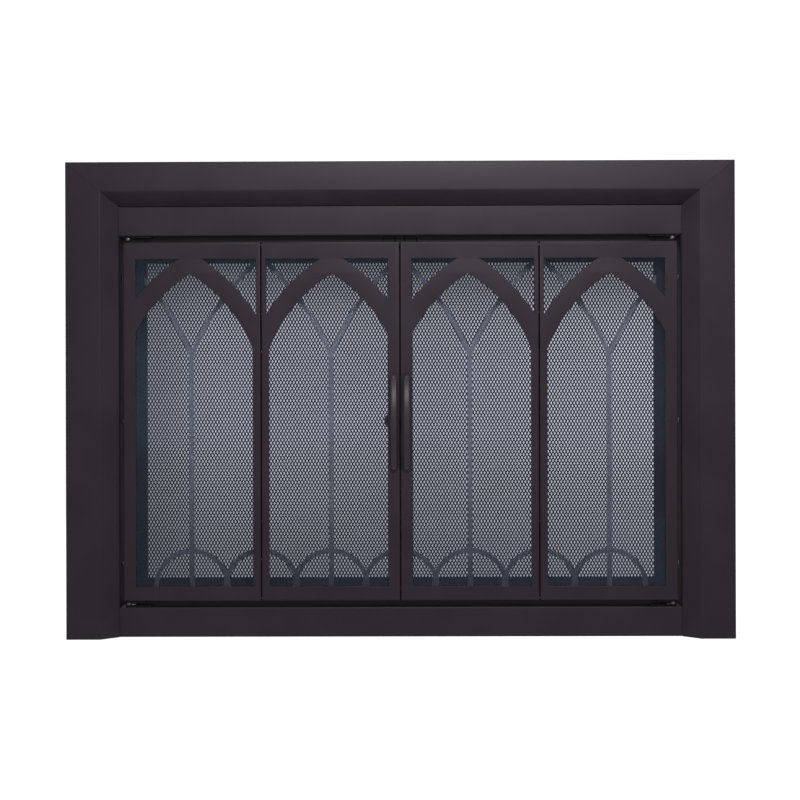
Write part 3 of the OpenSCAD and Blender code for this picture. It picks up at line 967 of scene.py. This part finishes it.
@dataclass
class GlassLeaf:
    """One leaf: a fretted frame of folded sheet, its glass and its small parts.

    The frame is drawn from the fold edge, u = 0, toward the leaf's free side, and up from its foot.

    Attributes:
        shop: The workshop.
        side: Left or right.
        place: Outer or inner leaf of its pair.
        leaf_w: Width of the leaf.
        depth: Depth of its rim.
        jamb_stile: Width of an outer leaf's stile on its free side.
        meeting_stile: Width of an inner leaf's stile on its free side.
        fold_stile: Width of the stile along the fold.
        fold_stile_top: The same beside the spandrel openings.
        top_rail: Height of the top rail.
        bottom_rail: Height of the bottom rail.
        arch_mid: Distance of the arch's centre line from the fold edge.
        arch_offset: Distance of the arcs' centres from that line.
        arch_r: Radius of the arch band's inner edge.
        arch_band: Width of the arch band.
        arch_z: Height of the arcs' centres above the foot.
        sheet: Thickness of the folded rim.
        fret: Thickness of the front plate.
        bend: Radius of the fold round the front plate.
        border: Distance from the leaf's edge to the flat part of the front plate.
        cut: Radius of the openings' edges.
        arris: Size of the small easings on the rear edges.
        lap: How far an outer leaf's guard reaches past the fold edge.
        swell: How far the fold at an inner leaf's free edge stands out beyond the leaf's width.
        hinges: Heights of the fold hinges above the hearth.
        hinge_h: Height of a fold hinge.
    """

    shop: Workshop
    side: Side
    place: Place
    leaf_w: float = 229.8 * MM
    depth: float = 12 * MM
    jamb_stile: float = 21 * MM
    meeting_stile: float = 18 * MM
    fold_stile: float = 13 * MM
    fold_stile_top: float = 7.5 * MM
    top_rail: float = 28 * MM
    bottom_rail: float = 23.4 * MM
    arch_mid: float = 117.6 * MM
    arch_offset: float = 136 * MM
    arch_r: float = 257.5 * MM
    arch_band: float = 31 * MM
    arch_z: float = 327.3 * MM
    sheet: float = 1.5 * MM
    fret: float = 2.5 * MM
    bend: float = 2.2 * MM
    border: float = 6 * MM
    cut: float = 0.7 * MM
    arris: float = 0.3 * MM
    lap: float = 2.1 * MM
    swell: float = 0.9 * MM
    hinges: tuple[float, float] = (160 * MM, 508.5 * MM)
    hinge_h: float = 60 * MM

    @property
    def name(self) -> str:
        """The leaf's name, as the frame's nodes spell it."""
        return f"{self.side.word}_{self.place.value}"

    @property
    def body(self) -> str:
        """The body that the leaf's pieces ride on."""
        return f"{self.name}_leaf"

    @property
    def free_stile(self) -> float:
        """Width of the stile on the free side."""
        return self.jamb_stile if self.place is Place.OUTER else self.meeting_stile

    def build(self) -> None:
        """Builds the frame and finishes the leaf's CAD nodes."""
        name, side = self.name, self.side.word
        self._frame()
        self.shop.keep("smoked_glass", 0.0, f"{name}_glass")
        self.shop.keep("zinc_plated", 0.3 * MM, f"{name}_clips")
        self.shop.keep("black_steel", 0.3 * MM, f"{name}_hinges")
        if self.place is Place.OUTER:
            self.shop.keep("black_steel", 0.4 * MM, f"{side}_pivots")
            self.shop.keep("bright_steel", 0.3 * MM, f"{side}_fold_pins")
        else:
            self.shop.keep("zinc_plated", 0.4 * MM, f"{side}_handle_screws")
            self.shop.keep("zinc_plated", 0.2 * MM, f"{side}_strike")
            BowHandle(self.shop, self.side).build()

    def window(self) -> Array:
        """Outline of the glazed opening with its pointed head.

        Each side of the head is an arc of radius arch_r whose centre lies arch_offset beyond the centre line,
        at the height arch_z. It meets a stile at u where its height is arch_z + sqrt(r^2 - (u - centre)^2).

        Returns:
            Points of shape (n, 2), counter-clockwise.
        """
        right = self.leaf_w - self.free_stile
        far, near = self.arch_mid + self.arch_offset, self.arch_mid - self.arch_offset
        start = math.acos((right - near) / self.arch_r)
        peak = math.acos(self.arch_offset / self.arch_r)
        end = math.acos((far - self.fold_stile) / self.arch_r)
        free_side = arc(np.array([near, self.arch_z]), self.arch_r, start, peak, 36)
        fold_side = arc(np.array([far, self.arch_z]), self.arch_r, math.pi - peak, math.pi - end, 36)
        feet = np.array([[self.fold_stile, self.bottom_rail], [right, self.bottom_rail]])
        return np.concatenate([feet, free_side, fold_side[1:]])

    def spandrels(self, height: float) -> list[Array]:
        """Outlines of the two three-cornered openings above the arch band.

        Args:
            height: Height of the leaf.

        Returns:
            Two outlines of shape (n, 2), counter-clockwise.
        """
        top, radius = height - self.top_rail, self.arch_r + self.arch_band
        rise = math.asin((top - self.arch_z) / radius)
        far, near = self.arch_mid + self.arch_offset, self.arch_mid - self.arch_offset
        low = math.acos((far - self.fold_stile_top) / radius)
        fold_side = arc(np.array([far, self.arch_z]), radius, math.pi - low, math.pi - rise, 28)
        right = self.leaf_w - self.free_stile
        low = math.acos((right - near) / radius)
        free_side = arc(np.array([near, self.arch_z]), radius, rise, low, 28)
        return [
            np.concatenate([fold_side, [[self.fold_stile_top, top]]]),
            np.concatenate([free_side, [[right, top]]]),
        ]

    def _frame(self) -> None:
        """Builds the fretted frame as one closed shell.

        The rim is a profile of inset and depth carried round the leaf's rectangle. The two faces of the front
        plate are flat fills between the rim and the openings, and each opening has a wall whose edges are
        quarter rounds of radius cut.
        """
        low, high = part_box(f"{self.name}_frame")
        height = high.z - low.z
        front, back = low.y, low.y + self.depth
        rear, edge = front + self.fret, self.arris
        profile = np.concatenate(
            [
                [[self.border, front]],
                quarter_round(self.bend, front),
                [[0, back - edge], [edge, back], [self.sheet - edge, back], [self.sheet, back - edge]],
                [[self.sheet, rear], [self.border, rear]],
            ]
        )
        free = self.leaf_w + (self.swell if self.place is Place.INNER else 0.0)
        rim = np.array([[0, 0], [free, 0], [free, height], [0, height]])
        toward = np.array([[1, 1], [-1, 1], [-1, -1], [1, -1]])
        loops = rim[None] + profile[:, None, :1] * toward[None]
        shell = Shell()
        shell.add_grid(self._placed(loops, profile[:, None, 1:], low, high), close_columns=True)
        holes = [self.window(), *self.spandrels(height)]
        wall = np.concatenate([quarter_round(self.cut, front), [[0, rear - edge], [edge, rear]]])
        for hole in holes:
            rings = np.stack([offset_line(hole, -step, closed=True) for step in wall[:, 0]])
            shell.add_grid(self._placed(rings, wall[:, None, 1:], low, high), close_columns=True)
        for depth, growth in ((front, self.cut), (rear, edge)):
            rims = [rim + self.border * toward] + [offset_line(hole, -growth, closed=True) for hole in holes]
            flat = np.concatenate(rims)
            faces = tessellate_polygon([[Vector((*point, 0)) for point in loop] for loop in rims])
            shell.add(self._placed(flat, np.full((len(flat), 1), depth), low, high), np.array(faces))
        self.shop.finish(shell.piece(f"{self.name}_fret"), "bronze_coat", self.body, f"{self.name}_frame")
        self._fold_lip(height, low, high)

    def _fold_lip(self, height: float, low: Vector, high: Vector) -> None:
        """Builds the inward lip along the fold and, on an outer leaf, the strip that closes the fold gap.

        The strip is broken at each hinge. A web ties each of its lengths to the lip.

        Args:
            height: Height of the leaf.
            low: The leaf's lowest corner.
            high: Its highest corner.
        """
        back = low.y + self.depth
        near, web = 0.2 * MM, 3 * MM
        blocks = [(near, self.fold_stile_top, 0.0, height, back - self.sheet, back)]
        if self.place is Place.OUTER:
            away, thick, clear = back + 0.5 * MM, 1.0 * MM, self.hinge_h / 2 + 2.5 * MM
            breaks = [z - low.z + turn * clear for z in self.hinges for turn in (-1, 1)]
            ends = [3.5 * MM, *breaks, height - 4.5 * MM]
            for start, end in zip(ends[::2], ends[1::2]):
                blocks.append((-self.lap, web, start, end, away, away + thick))
                blocks.append((near, web, start, end, back - self.sheet / 2, away + thick / 2))
        shell = Shell()
        for near, far, start, end, front, rear in blocks:
            plan = np.array([[near, start], [far, end]])
            corner = self._placed(plan, np.array([[front], [rear]]), low, high)
            shell.add_box(corner.min(0), corner.max(0))
        self.shop.finish(shell.piece(f"{self.name}_fold_lip"), "bronze_coat", self.body)

    def _placed(self, plan: Array, depth: Array, low: Vector, high: Vector) -> Array:
        """Moves points of the leaf's own drawing to their place.

        Args:
            plan: Distances from the fold edge and heights above the foot, of shape (..., 2).
            depth: Y of each point, broadcast to the same shape with a last axis of 1.
            low: The leaf's lowest corner.
            high: Its highest corner.

        Returns:
            Points of shape (..., 3).
        """
        fold_is_low = (self.side is Side.LEFT) == (self.place is Place.INNER)
        across = high.x - self.leaf_w + plan[..., :1] if fold_is_low else low.x + self.leaf_w - plan[..., :1]
        depth = np.broadcast_to(depth, across.shape)
        return np.concatenate([across, depth, low.z + plan[..., 1:]], axis=-1)


@dataclass
class BowHandle:
    """A bow handle: a flat bar with round edges, bent to an arc and standing on two round feet.

    Attributes:
        shop: The workshop.
        side: Left or right.
        half_wide: Half the bar's width.
        half_deep: Half the bar's depth.
        square: How square its section is; 1 is an oval.
        foot_r: Radius of a foot.
        foot_h: Height of a foot.
        sink: How far the bar's ends reach into the feet.
        overrun: How much further than the feet the bar's arc runs.
    """

    shop: Workshop
    side: Side
    half_wide: float = 5.1 * MM
    half_deep: float = 3.4 * MM
    square: float = 0.45
    foot_r: float = 5.0 * MM
    foot_h: float = 5.0 * MM
    sink: float = 3 * MM
    overrun: float = 1.015

    def build(self) -> None:
        """Builds the bar and its feet.

        The bar's centre line is the arc through both feet and the top of the bow: its radius is
        (half^2 + bow^2) / (2 bow), and its points are at radius (cos a, sin a) from its centre. The section
        is a rounded oblong across X and that radius, at (half_wide |cos b|^square, half_deep |sin b|^square)
        with the signs of cos b and sin b.
        """
        low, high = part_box(f"{self.side.word}_handle")
        middle = (low + high) / 2
        foot_y = high.y - self.sink
        crown_y = low.y + self.half_deep
        half = (high.z - low.z) / 2 - self.foot_r - 0.2 * MM
        bow = foot_y - crown_y
        radius = (half**2 + bow**2) / (2 * bow)
        sweep = math.asin(half / radius) * self.overrun
        along = np.linspace(-sweep, sweep, 65)[:, None]
        turn = np.linspace(0, 2 * math.pi, 40, endpoint=False)[None]
        wide, deep = (np.sign(wave) * np.abs(wave) ** self.square for wave in (np.cos(turn), np.sin(turn)))
        arm = radius + self.half_deep * deep
        across = np.broadcast_to(middle.x + self.half_wide * wide, (len(along), wide.shape[1]))
        grid = np.stack([across, crown_y + radius - arm * np.cos(along), middle.z + arm * np.sin(along)], -1)
        grid[..., 1] = np.minimum(grid[..., 1], high.y)
        shell = Shell()
        shell.add_grid(grid, close_columns=True)
        for end in (grid[0], grid[-1]):
            centre = np.broadcast_to(end.mean(0), end.shape)
            shell.add_grid(np.stack([end, centre]), close_columns=True)
        r, h, y = self.foot_r, self.foot_h, high.y
        shoulder = [[r, y - 0.4 * h], [0.96 * r, y - 0.62 * h], [0.86 * r, y - 0.82 * h], [0.7 * r, y - h]]
        profile = np.array([[0, y], [r, y], *shoulder, [0, y - h]])
        for z in (middle.z - half, middle.z + half):
            shell.add_grid(lathe(profile, (middle.x, 0, z)), close_columns=True)
        piece = shell.piece(f"{self.side.word}_bow_handle", sharp_deg=40)
        self.shop.finish(piece, "bronze_handle", f"{self.side.word}_inner_leaf", f"{self.side.word}_handle")


# ---- Mesh doors ----


@dataclass
class MeshDoor:
    """One mesh door: frame, tracery, woven wire, retaining strips, pins and, on the left, the knob.

    Attributes:
        shop: The workshop.
        side: Left or right.
        cell_w: Width of one diamond of the weave.
        cell_h: Height of one diamond.
        strand_w: Half the width of a strand, in the plane of the mesh.
        strand_d: Half its depth.
        weave: How far a strand swings to each side as it passes the others.
    """

    shop: Workshop
    side: Side
    cell_w: float = 5.5 * MM
    cell_h: float = 10.2 * MM
    strand_w: float = 1.0 * MM
    strand_d: float = 0.4 * MM
    weave: float = 0.35 * MM

    @property
    def body(self) -> str:
        """The body that the door's pieces ride on."""
        return f"{self.side.word}_mesh_door"

    def build(self) -> None:
        """Weaves the wire and finishes the door's CAD nodes."""
        side = self.side.word
        self._cloth()
        self.shop.keep("bronze_coat", 0.5 * MM, f"{side}_mesh_frame")
        self.shop.keep("tracery_grey", 0.4 * MM, f"{side}_mesh_tracery")
        self.shop.keep("black_steel", 0.3 * MM, f"{side}_mesh_retainers")
        self.shop.keep("bright_steel", 0.3 * MM, f"{side}_mesh_pins")
        if self.side is Side.LEFT:
            self.shop.keep("black_steel", 0.0, "mesh_knob")
            self.shop.keep("zinc_plated", 0.3 * MM, "mesh_knob_screw")

    def _cloth(self) -> None:
        """Weaves two families of flattened strands that cross in upright diamonds.

        A strand of family f (+1 or -1) that starts at c passes through x = c + f t z at the height z, with
        t = cell_w / cell_h, and swings by weave (-1)^(row + strand) as it passes over and under. It has a
        point at every crossing and a section of four corners, strand_w wide and strand_d deep to each side.
        Stretches outside the cloth are left out, and each strand is closed at both ends.
        """
        low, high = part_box(f"{self.side.word}_mesh_cloth")
        rise = self.cell_h / 2
        rows = int((high.z - low.z) / rise)
        lean = self.cell_w / self.cell_h
        reach = lean * rows * rise
        row = np.arange(rows + 1)
        z = low.z + row * (high.z - low.z) / rows
        start = np.arange(low.x - reach, high.x + reach, self.cell_w)
        family = np.array([1.0, -1.0])[:, None, None]
        x = start[None, :, None] + family * lean * (z - low.z)[None, None]
        inside = (x >= low.x) & (x <= high.x)
        turn = row[None, None] + np.arange(len(start))[None, :, None]
        swing = np.where(turn % 2 == 0, 1.0, -1.0) * family
        y = (low.y + high.y) / 2 + self.weave * swing
        across = 1 / math.hypot(1, lean)
        turns = np.array([[1.0, 0.0], [0.0, 1.0], [-1.0, 0.0], [0.0, -1.0]]) * (self.strand_w, self.strand_d)
        shape = (*x.shape, 4)
        px = x[..., None] + turns[:, 0] * across
        py = np.broadcast_to(y[..., None] + turns[:, 1], shape)
        pz = np.broadcast_to(z[None, None, :, None], shape) - family[..., None] * turns[:, 0] * across * lean
        points = np.stack([px, py, pz], -1).reshape(-1, 3)
        number = np.arange(points.shape[0]).reshape(shape)
        joined = inside[..., :-1] & inside[..., 1:]
        here, after = number[..., :-1, :][joined], number[..., 1:, :][joined]
        quads = np.stack([here, np.roll(here, -1, 1), np.roll(after, -1, 1), after], -1).reshape(-1, 4)
        padded = np.pad(joined, ((0, 0), (0, 0), (1, 1)))
        first, last = padded[..., 1:] & ~padded[..., :-1], padded[..., :-1] & ~padded[..., 1:]
        quads = np.concatenate([quads, number[first], number[last][:, ::-1]])
        used, quads = np.unique(quads, return_inverse=True)
        shell = Shell()
        shell.add(points[used], quads.reshape(-1, 4))
        piece = shell.piece(f"{self.side.word}_woven_mesh", sharp_deg=180, weld=1e-8)
        self.shop.finish(piece, "mesh_wire", self.body, f"{self.side.word}_mesh_cloth")


# ---- Studio ----


@dataclass
class Studio:
    """Floor, backdrop, light and camera.

    Attributes:
        lens: Focal length, in millimetres.
        sensor: Width of the sensor, in millimetres.
        distance: Distance of the camera in front of the surround.
        aside: How far the camera stands to the right of the middle.
        roll_deg: How far the picture leans.
        lamp_y: Depth of the lamp that casts the screen's shade.
        lamp_z: Its height.
    """

    lens: float = 78.6
    sensor: float = 36.0
    distance: float = 2.879
    aside: float = 24 * MM
    roll_deg: float = 0.16
    lamp_y: float = -2.92
    lamp_z: float = 0.395

    def build(self) -> None:
        """Builds everything that isn't part of the object."""
        self._sweep()
        self._lights()
        self._camera()

    def _sweep(self) -> None:
        """A pale floor that curves up into a backdrop behind the screen and another in front of it.

        The section runs level to the start of a quarter circle and then straight up, at both ends. Only the
        camera, and rays through the glass, see it; the light from below passes through it.
        """
        start, before, radius, top, half = 3.6, 3.0, 1.2, 7.0, 12.0
        bend = arc(np.array([start, radius]), radius, -math.pi / 2, 0, 24)
        rise = np.concatenate([bend, [[start + radius, top]]])
        line = np.concatenate([rise[::-1] * [-1, 1] - [before, 0], rise])
        across = np.array([-half, half])
        shape = (len(line), 2)
        grid = np.stack([np.broadcast_to(a, shape) for a in (across[None], line[:, :1], line[:, 1:])], -1)
        shell = Shell()
        shell.add_grid(grid)
        floor = shell.piece("studio_sweep")
        floor.data.materials.append(self._paper())
        floor.visible_diffuse = floor.visible_glossy = floor.visible_shadow = False

    def _paper(self) -> Material:
        """White paper, dimmer where it is seen through the glass.

        The screen shades the paper behind it from the lamp in front. The shade is drawn on the paper as the
        lamp at lamp_y and lamp_z casts it: a point of the paper belongs to the height
        w = lamp_z + (z - lamp_z) d and to the place u = x d of the screen, with d = -lamp_y / (y - lamp_y).

        Returns:
            The material.
        """
        material, graph, shader, where = start_material("studio_paper")
        grain = graph.noise(where, 3.0, 2.0)
        values = {
            "Base Color": graph.blend(grain, (0.80, 0.80, 0.80), (0.83, 0.83, 0.83)),
            "Roughness": 0.9,
            "Specular IOR Level": 0.1,
            "Emission Color": (1.0, 1.0, 1.0, 1.0),
            "Emission Strength": 0.75,
        }
        graph.fill(shader, values)
        x, y, z = graph.axes(where)
        share = graph.math("DIVIDE", -self.lamp_y, graph.math("SUBTRACT", y, self.lamp_y))
        u = graph.math("MULTIPLY", x, share)
        w = graph.math("MULTIPLY_ADD", graph.math("SUBTRACT", z, self.lamp_z), share, self.lamp_z)
        shade = graph.spread(u, -0.46, -0.30, 0.58, 0.95)
        stretches = ((u, 0.0, 0.40, 1.0, 1.2), (w, 0.50, 0.66, 1.0, 0.28), (w, 0.04, 0.36, 0.5, 1.0))
        for place, *stretch in stretches:
            shade = graph.math("MULTIPLY", shade, graph.spread(place, *stretch))
        glow = graph.node("ShaderNodeEmission")
        graph.fill(glow, {"Strength": graph.math("MULTIPLY_ADD", grain, 0.02, shade)})
        graph.by_ray("Is Transmission Ray", shader.outputs["BSDF"], glow.outputs[0])
        return material

    def _lights(self) -> None:
        """A soft box above in front, a light behind, the floor's bounce from below, and a grey world."""
        world = bpy.data.worlds.new("studio")
        bpy.context.scene.world = world
        world.use_nodes = True
        back = world.node_tree.nodes["Background"]
        back.inputs["Color"].default_value = (0.97, 0.96, 1.0, 1.0)
        back.inputs["Strength"].default_value = 0.396
        self._area("soft_top", (0.15, -0.9, 1.25), (0.1, 0.0, 0.75), (0.8, 0.3), 8.5)
        self._area("soft_rear", (-0.7, 2.2, 1.7), (0.0, 0.0, 0.5), (1.2, 0.8), 14)
        below = self._area("floor_bounce", (0.1, -0.9, -3.0), (0.0, 0.0, 0.4), (2.0, 2.0), 43)
        below.visible_glossy = False

    def _area(self, name: str, place: tuple, aim: tuple, size: tuple, power: float) -> Object:
        """Adds an area light.

        Args:
            name: Its name.
            place: Where it hangs.
            aim: The point that it faces.
            size: Its width and height.
            power: Its power, in watts.

        Returns:
            The light.
        """
        data = bpy.data.lights.new(name, "AREA")
        data.shape = "RECTANGLE"
        data.size, data.size_y = size
        data.energy = power
        light = bpy.data.objects.new(name, data)
        light.location = place
        light.visible_camera = False
        light.rotation_euler = (Vector(aim) - Vector(place)).to_track_quat("-Z", "Y").to_euler()
        bpy.context.scene.collection.objects.link(light)
        return light

    def _camera(self) -> None:
        """Sets the camera level, a little to the right, at half the screen's height, with its slight roll."""
        low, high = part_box("surround_top")
        data = bpy.data.cameras.new("camera")
        data.lens, data.sensor_width = self.lens, self.sensor
        camera = bpy.data.objects.new("camera", data)
        camera.location = (self.aside, low.y - self.distance, high.z / 2)
        turn = math.atan2(self.aside, self.distance)
        camera.rotation_euler = (math.pi / 2, math.radians(self.roll_deg), turn)
        bpy.context.scene.collection.objects.link(camera)
        bpy.context.scene.camera = camera


def main() -> None:
    """Builds the screen and the studio."""
    logging.basicConfig(level=logging.INFO, format="%(name)s: %(message)s")
    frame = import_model()
    bpy.context.scene.view_settings.view_transform = "Standard"
    shop = Workshop(frame, Palette())
    Surround(shop).build()
    BoxFrame(shop).build()
    for side in Side:
        for place in Place:
            GlassLeaf(shop, side, place).build()
        MeshDoor(shop, side).build()
    Studio().build()


if __name__ == "__main__":
    main()
